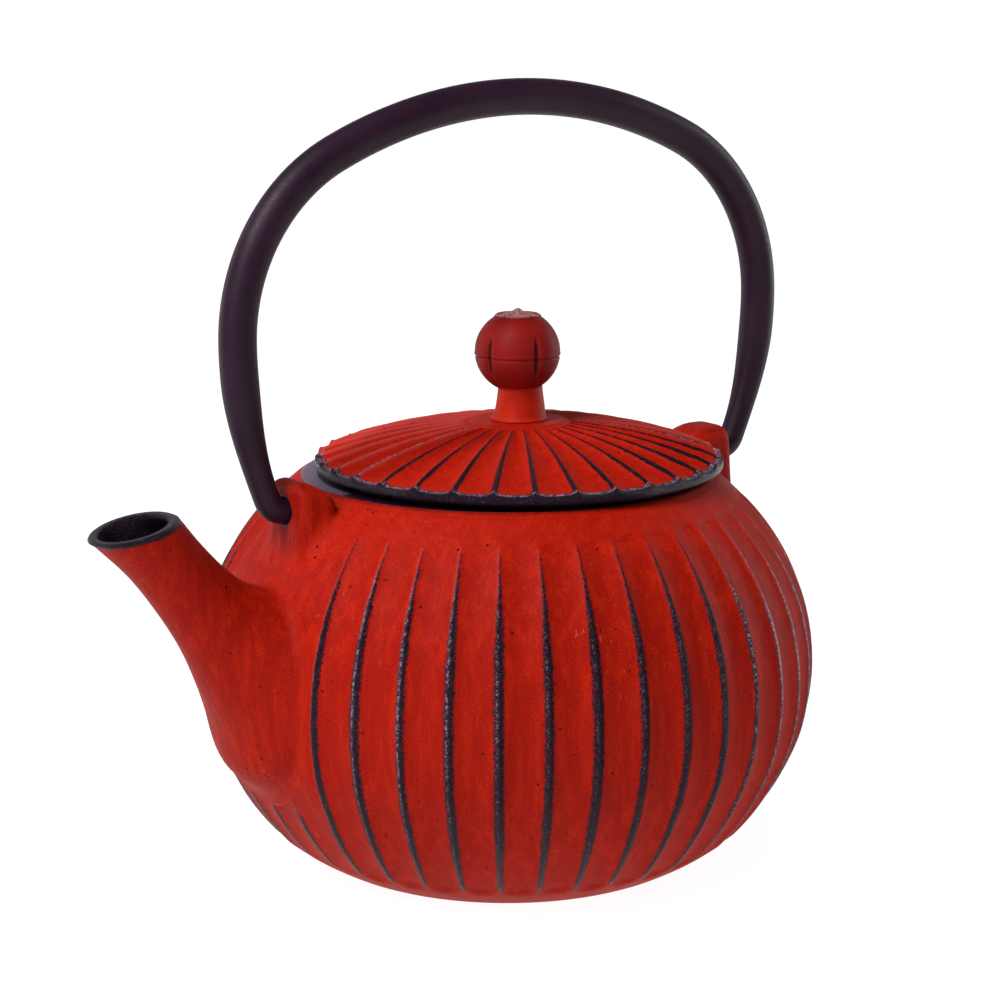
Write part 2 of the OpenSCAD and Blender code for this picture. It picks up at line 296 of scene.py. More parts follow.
def onto_body(p):
    """Nearest points on the plain body oval."""
    p = np.array(p, float)
    for _ in range(4):
        value, slope = oval_field(p)
        p = p - slope * (value / (slope ** 2).sum(-1))[..., None]
    return p


def body_gap(p):
    """Signed distance to the body oval, to first order."""
    value, slope = oval_field(p)
    return value / np.sqrt((slope ** 2).sum(-1))


def grow(rows, fillet, steps=10):
    """Ends a lofted shape on the body with a fillet.

    rows is (n, cols, 3), running from the free end into the body. fillet is the
    fillet's leg for each column. Returns rows of equal count that stop on the body.
    """
    n, cols, _ = rows.shape
    gap = body_gap(rows)
    out = []
    for j in range(cols):
        line = rows[:, j]
        g = gap[:, j]
        inside = np.where(g < 0)[0]
        i = inside[0] if len(inside) else n - 1
        t = g[i - 1] / (g[i - 1] - g[i])
        foot = line[i - 1] + (line[i] - line[i - 1]) * t
        seg = np.linalg.norm(np.diff(line[:i], axis=0), axis=1)
        dist = np.concatenate([[0], np.cumsum(seg)])
        total = dist[-1] + np.linalg.norm(foot - line[i - 1])
        full = np.concatenate([line[:i], foot[None]])
        along = np.concatenate([dist, [total]])
        leg = min(fillet[j], total * 0.8)
        s = np.linspace(0, total - leg, n)
        part = np.stack([np.interp(s, along, full[:, c]) for c in range(3)], 1)
        out.append((part, foot, leg))
    feet = np.array([o[1] for o in out])
    normal = oval_field(feet)[1]
    normal /= np.linalg.norm(normal, axis=1)[:, None]
    away = feet - feet.mean(0)
    away -= normal * (away * normal).sum(1)[:, None]
    away /= np.linalg.norm(away, axis=1)[:, None]
    legs = np.array([o[2] for o in out])
    ends = onto_body(feet + away * legs[:, None])
    start = np.array([o[0][-1] for o in out])
    result = [np.array([o[0] for o in out]).transpose(1, 0, 2)]
    for t in np.linspace(0, 1, steps + 1)[1:]:
        b = (1 - t) ** 2 * start + 2 * t * (1 - t) * feet + t * t * ends
        result.append((b + normal * 0.02)[None])
    sunk = onto_body(feet + away * (legs + 0.8)[:, None]) - normal * 0.35
    result.append(sunk[None])
    return np.concatenate(result)


def spline(xs, ys, x):
    """Smooth monotone interpolation through a few points."""
    xs, ys = np.asarray(xs, float), np.asarray(ys, float)
    h = np.diff(xs)
    d = np.diff(ys) / h
    m = np.zeros_like(ys)
    both = d[:-1] + d[1:]
    both = np.where(np.abs(both) < 1e-9, 1e-9, both)
    m[1:-1] = np.where(d[:-1] * d[1:] > 0, 2 * d[:-1] * d[1:] / both, 0)
    m[0], m[-1] = d[0], d[-1]
    i = np.clip(np.searchsorted(xs, x) - 1, 0, len(xs) - 2)
    t = (x - xs[i]) / h[i]
    return ((2 * t ** 3 - 3 * t ** 2 + 1) * ys[i] + (t ** 3 - 2 * t ** 2 + t) * h[i] * m[i]
            + (-2 * t ** 3 + 3 * t ** 2) * ys[i + 1] + (t ** 3 - t ** 2) * h[i] * m[i + 1])


# Spout sections: upper edge, lower edge (x, z) and half width across.
SPOUT = [
    (91.1, 94.2, 110.9, 89.8, 10.2),
    (85.2, 86.8, 101.3, 80.1, 9.3),
    (79.7, 80.9, 94.4, 70.7, 9.5),
    (74.2, 76.4, 88.7, 61.4, 11.0),
    (67.0, 73.3, 84.2, 52.0, 14.8),
    (59.5, 70.3, 80.4, 43.0, 19.8),
    (50.0, 66.0, 77.0, 32.0, 23.0),
    (40.0, 60.0, 66.0, 22.0, 24.0),
]


def make_spout():
    sec = np.array(SPOUT)
    at = np.linspace(0, len(sec) - 1, 46)
    q = np.stack([spline(np.arange(len(sec)), sec[:, c], at) for c in range(5)], 1)
    cols = 96
    w = np.arange(cols) * TAU / cols
    rows = []
    for ux, uz, lx, lz, half in q:
        middle = np.array([(ux + lx) / 2, 0, (uz + lz) / 2])
        down = np.array([(lx - ux) / 2, 0, (lz - uz) / 2])
        across = np.array([0, half, 0])
        rows.append(middle + np.cos(w)[:, None] * down + np.sin(w)[:, None] * across)
    rows = np.array(rows)
    legs = 2.4 + 0.7 * np.clip(-np.cos(w), 0, 1)
    outer = grow(rows, legs)
    # lip: rolled edge between the outer wall and the bore
    up = np.array([math.sin(math.radians(13.6)), 0, math.cos(math.radians(13.6))])
    axis = rows[0].mean(0)
    rim = []
    for scale, lift in [(0.745, -0.9), (0.765, -0.3), (0.80, 0.0), (0.86, 0.12),
                        (0.93, 0.05), (0.975, -0.2)]:
        rim.append(axis + (rows[0] - axis) * scale + up * lift)
    # bore wall, running down the spout
    bore = []
    for i in (26, 23, 20, 17, 14, 12, 10, 8, 6, 4, 2):
        c = rows[i].mean(0)
        bore.append(c + (rows[i] - c) * (0.62 + 0.11 * (26 - i) / 24))
    first = outer.copy()
    first[0] = rows[0] - up * 0.55
    grid = np.concatenate([np.array(bore), np.array(rim), first])
    black = np.full(grid.shape[:2], RED_ONLY)
    # painted shade: the spout is darkened towards maroon, fading out over its fillet into the
    # body
    deep = np.full(grid.shape[:2], 0.56)
    deep[-7:] *= np.linspace(0.9, 0.0, 7)[:, None]
    nb = len(bore) + len(rim)
    black[:nb] = ALL_BLACK
    black[nb] = 1.0
    down = np.linalg.norm(grid[nb + 1:nb + 3] - grid[nb], axis=2)
    black[nb + 1:nb + 3] = np.clip(1.0 - down, RED_ONLY, 0.5)
    faces = grid_faces(len(grid), cols) + end_caps(len(grid), cols)[:1]
    return grid.reshape(-1, 3), faces, black.reshape(-1), deep.reshape(-1)


def rounding(depth, size):
    """How far a corner of the given radius draws in at a depth below the top."""
    return size * (1 - max(0.0, 1 - (1 - min(depth / size, 1)) ** 2) ** 0.5)


def make_lug(side):
    """A lug: rounded block standing on the shoulder, wider at its foot."""
    cols = 72
    w = np.arange(cols) * TAU / cols
    x_out = LUG_SHIFT * side + LUG_FACE          # distance of the outer face
    square = 4.6                                 # how square the outline is
    rows = []
    zs = LUG_TOP - np.concatenate([[0.0, 0.02, 0.12, 0.35, 0.75, 1.4, 2.3, 3.5],
                                   np.linspace(5, 24, 20)])
    for z in zs:
        d = LUG_TOP - z
        lean = 0.25 * min(d / 10, 1.4)
        inner = LUG_IN + 5.4 * (1 - min(d / 4.6, 1.0)) ** 1.15
        cx = (x_out + inner) / 2
        hx = (x_out - inner) / 2 + lean
        hy = 7.3 + min(d / 12, 1.5)
        c, s = np.cos(w), np.sin(w)
        k = (np.abs(c) ** square + np.abs(s) ** square) ** (-1 / square)
        x = cx + (hx - np.where(c > 0, rounding(d, 2.0), rounding(d, 2.4))) * k * c
        y = (hy - rounding(d, 4.4)) * k * s
        rows.append(np.stack([side * x, y, np.full(cols, z)], 1))
    rows = np.array(rows)
    legs = 3.4 + 2.6 * np.abs(np.sin(w)) ** 1.5
    legs = 0.9 + (legs - 0.9) * smooth(-0.95, 0.0, np.cos(w))
    grid = grow(rows, legs)
    verts = np.concatenate([grid.reshape(-1, 3), rows[0].mean(0)[None]])
    faces = grid_faces(len(grid), cols, flip=side > 0)
    n = len(verts) - 1
    for j in range(cols):
        tri = (n, j, (j + 1) % cols)
        faces.append(tri if side < 0 else tri[::-1])
    return verts, faces


def merge(obj, parts):
    """Joins more shells, with their masks of paint and of painted light, into an object's
    mesh.
    """
    mesh, name = obj.data, obj.name
    points = [points_mm(mesh)]
    base = len(mesh.vertices)
    masks = {}
    for key in ("wear", "deep", "pale"):
        values = np.zeros(base, np.float32)
        mesh.attributes[key].data.foreach_get("value", values)
        masks[key] = [values]
    faces = [tuple(p.vertices) for p in mesh.polygons]
    for v, f, wear, deep in parts:
        points.append(v)
        for key, values in (("wear", wear), ("deep", deep), ("pale", np.zeros(len(v)))):
            masks[key].append(values)
        faces += [tuple(i + base for i in q) for q in f]
        base += len(v)
    discard(obj)
    return new_object(name, np.concatenate(points), faces, "pot", "enamel_iron",
                      {key: np.concatenate(m) for key, m in masks.items()})


def make_casting():
    body = make_body()
    cut(body, *tube([(48, 0, 40), (66, 0, 52.5), (82, 0, 70)], 6.4, 48))
    parts = [make_spout()]
    for side in (1, -1):
        lug = new_object("lug_shell", *make_lug(side), None, None)
        cut(lug, *tube([(side * 53, 0, PIN_Z), (side * 72, 0, PIN_Z)], PIN_HOLE_R, 48))
        co = points_mm(lug.data)
        hole = np.hypot(co[:, 1], co[:, 2] - PIN_Z)
        # painted shade: the pin hole is black inside, with a dark ring round it
        edge = np.where(np.abs(hole - PIN_HOLE_R) < 0.5, 0.1, RED_ONLY)
        wear = np.where(hole < PIN_HOLE_R + 0.15, 0.6, edge)
        gap = body_gap(co)
        # painted shade: the lug is darkened towards maroon, most on its outer face, fading
        # out where it meets the body
        deep = 0.2 + 0.62 * smooth(0.3, 3.0, gap) * smooth(57, 61.5, np.abs(co[:, 0]))
        deep = deep * smooth(-0.2, 1.0, gap)
        parts.append((co, [tuple(p.vertices) for p in lug.data.polygons], wear, deep))
        discard(lug)
    obj = merge(body, parts)
    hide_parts(*frame["record"]["behaviour"]["bodies"]["pot"])
    return obj


# ---------------------------------------------------------------- lid
def dome(r):
    return EDGE_TOP + DOME_H * (1 - (np.clip(r, 0, None) / (LID_R - 0.3)) ** 2.1)


def make_lid():
    half = np.array([0.0, 0.03, 0.065, 0.105, 0.155, 0.22, 0.31, 0.41])
    phi, u, k = pitch_columns(half, LID_RIBS, LID_TURN)
    cols = len(phi)
    cs, sn = np.cos(phi), np.sin(phi)
    rings, black, pale = [], [], []

    def ring(r, z, wear, highlight_amount=0.0):
        z = np.broadcast_to(z, (cols,))
        rings.append(np.stack([LID_OFF[0] + r * cs, LID_OFF[1] + r * sn, z], 1))
        black.append(np.broadcast_to(wear, (cols,)).astype(float))
        pale.append(np.broadcast_to(highlight_amount, (cols,)).astype(float))

    arch = 1 - (1 - np.abs(u) * 2) ** 2
    # painted highlight: the crests keep their black only on the side that faces forward;
    # towards the back they stay red with a pale painted line, as if catching the light
    facing = np.cos((k + 0.5 + LID_TURN) * TAU / LID_RIBS - math.radians(78))
    vary = np.random.default_rng(8).uniform(-0.12, 0.15, LID_RIBS)[k]
    seen = smooth(0.1, 0.75, facing) * (1 + vary)
    edge_seen = smooth(-0.25, 0.15, np.cos(phi - math.radians(54)))
    for r in (0.4, 3.0, 6.0, 8.5, 10.0, 10.9):
        ring(r, SEAT_Z, RED_ONLY)
    for r in np.concatenate([np.linspace(11.4, 14, 5), np.linspace(15.2, 44, 26),
                             np.linspace(44.8, 48.0, 8)]):
        grow_in = smooth(11.5, 14.5, r)
        depth = (0.5 + 1.25 * (r / 48) ** 1.4) * grow_in * (1 - 0.5 * smooth(41, 47.5, r))
        trough = arch ** (0.85 - 0.42 * smooth(30, 48, r))
        x = np.abs(u) * TAU * r / LID_RIBS
        bead = 0.25 * np.exp(-((x / 0.6) ** 2)) * grow_in
        z = dome(np.array(r)) + 0.3 * smooth(48, 44, r) - depth * trough + bead
        z = z + 0.35 * smooth(11.8, 10.9, r)
        # painted highlight: black narrows on the crests that face away, and the edge band
        # begins further out towards the back
        half_w = (0.14 + 0.5 * smooth(14, 49, r)) * seen
        wear = np.where((grow_in > 0.1) & (seen > 0.08), (half_w - x) * 3.0, RED_ONLY)
        band = r - 47.2 - 1.6 * (1 - edge_seen) + 0.4 * (1 - arch) ** 3
        # painted highlight: a pale line on the crests that face away, and along the outer end
        # of the panels
        crest = np.exp(-((x / 0.42) ** 2)) * grow_in * smooth(0.5, 0.1, seen) * 0.55
        ring(r, z, np.maximum(wear, band * 4.0),
             np.maximum(crest, 0.5 * smooth(47.0, 47.6, r)))
    # rolled black edge, scalloped by the flutes' ends
    crest = 0.5 * np.exp(-((np.abs(u) / 0.12) ** 2))
    top_z = EDGE_TOP - 0.5 * arch ** 0.43 + crest
    # painted highlight: a pale line along the band's top ring, whose black gives way to red
    # towards the back
    for r, dz in [(48.45, 0.12), (48.8, -0.05), (49.02, -0.35), (LID_R, -0.8)]:
        ring(r, np.maximum(top_z + dz, EDGE_BOT + 1.0),
             edge_seen * 4.0 - 2.0 if dz > -0.5 else ALL_BLACK, 0.35 if dz > 0 else 0.0)
    for r, z in [(49.1, 95.3), (49.0, 94.85), (48.7, 94.58), (48.2, 94.5), (46, 94.5),
                 (45.5, 94.4), (45.2, 93.3), (44.9, 93.0), (35, 93.0), (33.5, 92.8),
                 (33.3, 92.4), (33.3, 86.5), (33.1, 86.1), (32.7, 86.0), (31.7, 86.0),
                 (31.3, 86.1), (31.2, 86.5), (31.0, 94.0), (30.2, 96.5)]:
        ring(r, z, ALL_BLACK)
    for r in (28, 23, 18, 13, 9):
        ring(r, float(dome(np.array(float(r)))) - 3.4, ALL_BLACK)
    for r in (7.5, 2.4):
        ring(r, APEX_Z - 3.4, ALL_BLACK)
    verts = np.concatenate(rings)
    faces = grid_faces(len(rings), cols, flip=True)
    n = len(verts)
    # the screw's hole: from the underside back to the top ring
    for j in range(cols):
        j2 = (j + 1) % cols
        faces.append((n - cols + j, n - cols + j2, j2, j)[::-1])
    obj = new_object("lid_casting", verts, faces, "lid_set", "enamel_iron",
                     {"wear": np.concatenate(black), "pale": np.concatenate(pale)})
    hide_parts("lid")
    return obj


# ---------------------------------------------------------------- knob
VIEW_RIGHT = np.array([math.cos(RIGHT_AZ), math.sin(RIGHT_AZ), 0.0])


def make_knob():
    """The neck and the ball, with five lobes, a seam and a flower on its flat top."""
    cols = 200
    phi = np.arange(cols) * TAU / cols
    cs, sn = np.cos(phi), np.sin(phi)
    neck = [(2.3, 0.05), (5.9, 0.0), (6.7, 0.02), (6.95, 0.2), (6.5, 0.55), (6.25, 1.2),
            (6.02, 2.4), (5.82, 3.8), (5.62, 5.2), (5.45, 6.6), (5.33, 7.6), (5.3, 8.05),
            (5.15, 8.3), (4.9, 8.36)]
    rings, wear = [], []
    for r, dz in neck:
        slide = VIEW_RIGHT * 0.3 * min(1.0, dz / 3)
        rings.append(np.stack([r * cs, r * sn, np.full(cols, SEAT_Z + dz)], 1) + slide)
        wear.append(np.full(cols, RED_ONLY))
    ball = VIEW_RIGHT * -0.33
    low = -math.asin(math.sqrt(1 - (4.85 / KNOB_R) ** 2))
    high = math.acos(5.75 / KNOB_R)
    rel = (phi - math.radians(10)) % (TAU / 5)
    rel = np.minimum(rel, TAU / 5 - rel)
    for a in np.linspace(low, high, 90):
        deg = math.degrees(a)
        r = KNOB_R * math.cos(a)
        z = KNOB_Z + KNOB_R * KNOB_FLAT * math.sin(a)
        along = math.exp(-abs((deg + 3) / 27.0) ** 3)
        width = 0.55 * math.sqrt(along) + 0.12
        groove = 0.9 * along * np.exp(-((rel * r / width) ** 2))
        lobes = 0.3 * math.cos(a) ** 2 * np.exp(-((rel * r / 2.6) ** 2))
        seam = 0.26 * math.exp(-(((deg + 5.5) / 1.3) ** 2))
        lip = 0.12 * math.exp(-(((deg + 2.6) / 1.6) ** 2))
        rr = r - groove - seam - lobes + lip
        rings.append(np.stack([rr * cs, rr * sn, np.full(cols, z)], 1) + ball)
        wear.append(np.where(groove + seam > 0.3, 0.2, RED_ONLY))
    top = KNOB_Z + KNOB_R * KNOB_FLAT * math.sin(high)
    # flat cap with a five petal flower round a small point
    pet = (phi - math.radians(54)) % (TAU / 5)
    pet = np.minimum(pet, TAU / 5 - pet) / (TAU / 10)
    for r, z in [(5.68, 0.02), (5.66, 0.12), (5.6, 0.35), (5.45, 0.6), (5.2, 0.75),
                 (5.05, 0.78)]:
        edge = r * (1 - 0.035 * pet ** 2)
        rings.append(np.stack([edge * cs, edge * sn, np.full(cols, top + z)], 1) + ball)
        wear.append(np.where(pet > 0.9, 0.3, RED_ONLY) if z > 0.5 else np.zeros(cols))
    for t in np.linspace(1, 0.03, 26):
        r = 4.9 * (1 - 0.1 * pet ** 2) * t
        hump = 0.5 * np.sin(np.pi * t ** 0.8) * (1 - pet ** 2)
        vein = 0.35 * smooth(0.8, 1.0, pet) * smooth(0.1, 0.4, t)
        point = 1.5 * np.exp(-((r / 1.25) ** 2))
        z = top + 0.5 + hump - vein + point
        rings.append(np.stack([r * cs, r * sn, z], 1) + ball)
        line = np.where((pet > 0.86) & (t > 0.25), 0.4, RED_ONLY)
        wear.append(np.maximum(line, 0.2 if t > 0.93 else RED_ONLY))
    verts = np.concatenate(rings) + np.array([LID_OFF[0], LID_OFF[1], 0])
    faces = grid_faces(len(rings), cols) + end_caps(len(rings), cols)
    height = verts[:, 2]
    obj = new_object("knob_casting", verts, faces, "lid_set", "knob_iron",
                     {"wear": np.concatenate(wear),
                      "ball": smooth(SEAT_Z + 7.9, SEAT_Z + 8.3, height),
                      "cap": smooth(top + 0.45, top + 0.7, height)})
    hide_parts("knob")
    return obj


# ---------------------------------------------------------------- handle
def make_handle():
    """One bent rod, tapered towards the pins that are its turned-in ends."""
    side_c = HANDLE_HALF - SIDE_R
    rise = HANDLE_TOP - WIDEST_Z
    crown_r = (side_c ** 2 + rise ** 2 - SIDE_R ** 2) / (2 * (rise - SIDE_R))
    join = math.atan2(side_c, WIDEST_Z - (HANDLE_TOP - crown_r))

    def arc(cx, cz, r, a0, a1, n):
        turns = a0 + (a1 - a0) * np.arange(1, n + 1) / n
        return [(cx + r * math.sin(a), 0.0, cz + r * math.cos(a)) for a in turns]

    def half(leg_r):
        """Centre line from the crown to a pin, for a leg bent to leg_r."""
        leg = math.pi / 2 + math.asin((WIDEST_Z - PIN_Z - BEND_R) / (leg_r - BEND_R))
        bend_x = HANDLE_HALF - leg_r + (leg_r - BEND_R) * math.sin(leg)
        pts = arc(0, HANDLE_TOP - crown_r, crown_r, 0, join, 20)
        pts += arc(side_c, WIDEST_Z, SIDE_R, join, math.pi / 2, 24)
        pts += arc(HANDLE_HALF - leg_r, WIDEST_Z, leg_r, math.pi / 2, leg, 20)
        pts += arc(bend_x, PIN_Z + BEND_R, BEND_R, leg, math.pi, 10)
        pts += [(bend_x - PIN_LEN * t, 0.0, PIN_Z) for t in (0.25, 0.5, 0.75, 0.93, 1.0)]
        return np.array(pts)

    front, rear = half(FRONT_LEG_R), half(REAR_LEG_R)
    r = ROD_R - 1.25 * smooth(122, 96, front[:, 2])
    r[-5:] = [PIN_R, PIN_R, PIN_R, PIN_R, PIN_R - 0.35]
    left = rear[::-1] * np.array([-1, 1, 1])
    path = np.concatenate([left, [[0, 0, HANDLE_TOP]], front])
    path = path + np.array([HANDLE_SHIFT, 0, 0])
    verts, faces = tube(path, np.concatenate([r[::-1], [ROD_R], r]), 40)
    obj = new_object("handle_rod", verts, faces, "handle", "black_iron")
    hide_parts("bail_handle")
    return obj


# ---------------------------------------------------------------- strainer
def wire_set(lines, radius, sides=4):
    """Many thin wires in one vertex list."""
    verts, faces, base = [], [], 0
    for line, closed in lines:
        line = np.asarray(line)
        t = (np.roll(line, -1, 0) - np.roll(line, 1, 0) if closed
             else np.gradient(line, axis=0))
        t /= np.linalg.norm(t, axis=1)[:, None]
        ref = np.array([0.0, 0.0, 1.0]) if abs(t[0][2]) < 0.7 else np.array([1.0, 0.0, 0.0])
        a = np.cross(t, ref)
        a /= np.linalg.norm(a, axis=1)[:, None]
        b = np.cross(t, a)
        for k in range(sides):
            w = TAU * k / sides
            verts.append(line + radius * (math.cos(w) * a + math.sin(w) * b))
        m = len(line)
        for k in range(sides):
            k2 = (k + 1) % sides
            for i in range(m if closed else m - 1):
                i2 = (i + 1) % m
                faces.append((base + k * m + i, base + k * m + i2,
                              base + k2 * m + i2, base + k2 * m + i))
        if not closed:
            faces.append(tuple(base + k * m for k in range(sides)))
            faces.append(tuple(base + k * m + m - 1 for k in range(sides))[::-1])
        base += m * sides
    return np.concatenate(verts), faces


def make_mesh_wall():
    """A woven cylinder: upright wires, and hoops that pass over and under them."""
    around, up = 128, 32
    z0, z1, r0, amp = 33.4, 88.6, 36.72, 0.13
    lines = []
    for i in range(around):
        a = TAU * i / around
        s = np.arange(up * 2 + 1)
        z = z0 + (z1 - z0) * s / (up * 2)
        r = r0 + amp * np.sin(np.pi * (s - 1) / 2 + np.pi * (i % 2))
        lines.append((np.stack([r * math.cos(a), r * math.sin(a), z], 1), False))
    for j in range(up):
        z = z0 + (z1 - z0) * (2 * j + 1) / (up * 2)
        s = np.arange(around * 2)
        a = TAU * s / (around * 2)
        sign = 1 if j % 2 else -1
        r = r0 + amp * sign * np.cos(np.pi * s / 2)
        lines.append((np.stack([r * np.cos(a), r * np.sin(a), np.full(len(s), z)], 1), True))
    v, f = wire_set(lines, 0.16)
    obj = new_object("mesh_wall", v, f, "strainer", "stainless")
    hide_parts("strainer_wall")


def make_mesh_base():
    """A woven disc."""
    n, rad, z0, amp = 42, 36.3, 32.76, 0.12
    pitch = 2 * rad / (n + 1)
    lines = []
    for ax in (0, 1):
        for i in range(n):
            p = -rad + pitch * (i + 1)
            h = math.sqrt(rad ** 2 - p ** 2)
            m = int(2 * h / pitch) * 2 + 3
            s = np.linspace(-h, h, m)
            wave = np.cos(np.pi * s / pitch) * (1 if (i + ax) % 2 else -1) * amp
            fixed = np.full(m, p)
            line = [s, fixed, z0 + wave] if ax == 0 else [fixed, s, z0 + wave]
            lines.append((np.stack(line, 1), False))
    v, f = wire_set(lines, 0.13)
    obj = new_object("mesh_base", v, f, "strainer", "stainless")
    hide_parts("strainer_base")


def turned(name, node, prof, cols=160):
    """A ring of sheet steel turned from a closed profile of (r, z)."""
    phi = np.arange(cols) * TAU / cols
    verts = np.concatenate([
        np.stack([r * np.cos(phi), r * np.sin(phi), np.full(cols, z)], 1) for r, z in prof])
    faces = grid_faces(len(prof), cols)
    last = (len(prof) - 1) * cols
    for j in range(cols):
        j2 = (j + 1) % cols
        faces.append((last + j, last + j2, j2, j))
    obj = new_object(name, verts, faces, "strainer", "stainless")
    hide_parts(node)


def make_strainer():
    make_mesh_wall()
    make_mesh_base()
    turned("basket_rim", "strainer_rim", [
        (37.02, 82.65), (37.25, 82.6), (37.48, 82.7), (37.5, 83.0), (37.5, 90.0),
        (37.7, 90.45), (38.1, 90.6), (40.6, 90.6), (40.95, 90.7), (41.0, 90.9),
        (40.9, 91.12), (40.5, 91.2), (37.9, 91.2), (37.3, 91.05), (37.05, 90.6),
        (37.02, 89.5)])
    turned("basket_hem", "strainer_hem", [
        (34.5, 32.05), (34.7, 32.0), (36.8, 32.0), (37.3, 32.1), (37.5, 32.5), (37.5, 37.7),
        (37.4, 37.97), (37.2, 38.0), (37.02, 37.8), (37.02, 33.0), (36.85, 32.6),
        (36.5, 32.5), (34.7, 32.48), (34.5, 32.4)])


# ---------------------------------------------------------------- materials
class Nodes:
    """Builds one material's node tree round a Principled shader."""

    def __init__(self, name):
        self.mat = bpy.data.materials.new(name)
        self.mat.use_nodes = True
        self.t = self.mat.node_tree
        self.t.nodes.clear()
        self.out = self.t.nodes.new("ShaderNodeOutputMaterial")
        self.bsdf = self.t.nodes.new("ShaderNodeBsdfPrincipled")
        self.link(self.bsdf.outputs[0], self.out.inputs[0])
        self.coord = self.t.nodes.new("ShaderNodeTexCoord").outputs["Object"]

    def link(self, a, b):
        self.t.links.new(a, b)

    def plug(self, value, socket):
        if isinstance(value, (int, float, tuple)):
            socket.default_value = value
        else:
            self.link(value, socket)

    def noise(self, scale, detail=4.0, rough=0.55, stretch=None, distortion=0.0):
        src = self.coord
        if stretch:
            m = self.t.nodes.new("ShaderNodeMapping")
            m.inputs["Scale"].default_value = stretch
            self.link(src, m.inputs["Vector"])
            src = m.outputs[0]
        n = self.t.nodes.new("ShaderNodeTexNoise")
        self.link(src, n.inputs["Vector"])
        n.inputs["Scale"].default_value = scale
        n.inputs["Detail"].default_value = detail
        n.inputs["Roughness"].default_value = rough
        n.inputs["Distortion"].default_value = distortion
        return n.outputs["Fac"]

    def voronoi(self, scale):
        n = self.t.nodes.new("ShaderNodeTexVoronoi")
        self.link(self.coord, n.inputs["Vector"])
        n.inputs["Scale"].default_value = scale
        n.inputs["Randomness"].default_value = 1.0
        return n.outputs["Distance"]

    def math(self, op, a, b):
        n = self.t.nodes.new("ShaderNodeMath")
        n.operation = op
        self.plug(a, n.inputs[0])
        self.plug(b, n.inputs[1])
        return n.outputs[0]

    def ramp(self, fac, lo, hi, a=0.0, b=1.0):
        """a below lo, b above hi, and a smooth step between."""
        n = self.t.nodes.new("ShaderNodeMapRange")
        n.interpolation_type = "SMOOTHSTEP"
        self.plug(fac, n.inputs["Value"])
        for key, val in zip(("From Min", "From Max", "To Min", "To Max"), (lo, hi, a, b)):
            n.inputs[key].default_value = val
        return n.outputs["Result"]

    def mix(self, fac, a, b):
        n = self.t.nodes.new("ShaderNodeMix")
        n.data_type = "RGBA"
        self.plug(fac, n.inputs["Factor"])
        self.plug(a, n.inputs[6])        # the colour sockets A, B and Result
        self.plug(b, n.inputs[7])
        return n.outputs[2]

    def bump(self, height, strength, distance):
        n = self.t.nodes.new("ShaderNodeBump")
        n.inputs["Strength"].default_value = strength
        n.inputs["Distance"].default_value = distance
        self.link(height, n.inputs["Height"])
        return n.outputs[0]

    def attr(self, name):
        n = self.t.nodes.new("ShaderNodeAttribute")
        n.attribute_name = name
        return n.outputs["Fac"]


RED = (0.375, 0.0085, 0.0015, 1.0)
RED_DEEP = (0.25, 0.0042, 0.0013, 1.0)
RED_WARM = (0.50, 0.018, 0.0016, 1.0)
BLACK = (0.0082, 0.0014, 0.0085, 1.0)
SHADE_MAROON = (0.19, 0.0045, 0.0022, 1.0)
PINK = (0.50, 0.085, 0.075, 1.0)
GLINT_LILAC = (0.24, 0.15, 0.23, 1.0)
HIGHLIGHT_LILAC = (0.34, 0.22, 0.30, 1.0)
HIGHLIGHT_PINK = (0.62, 0.34, 0.36, 1.0)
RIM_SHEEN_GREY = (0.155, 0.11, 0.16, 1.0)
PIT = (0.03, 0.002, 0.002, 1.0)


def centred(n, noise, amount):
    return n.math("MULTIPLY", n.math("SUBTRACT", noise, 0.5), amount)


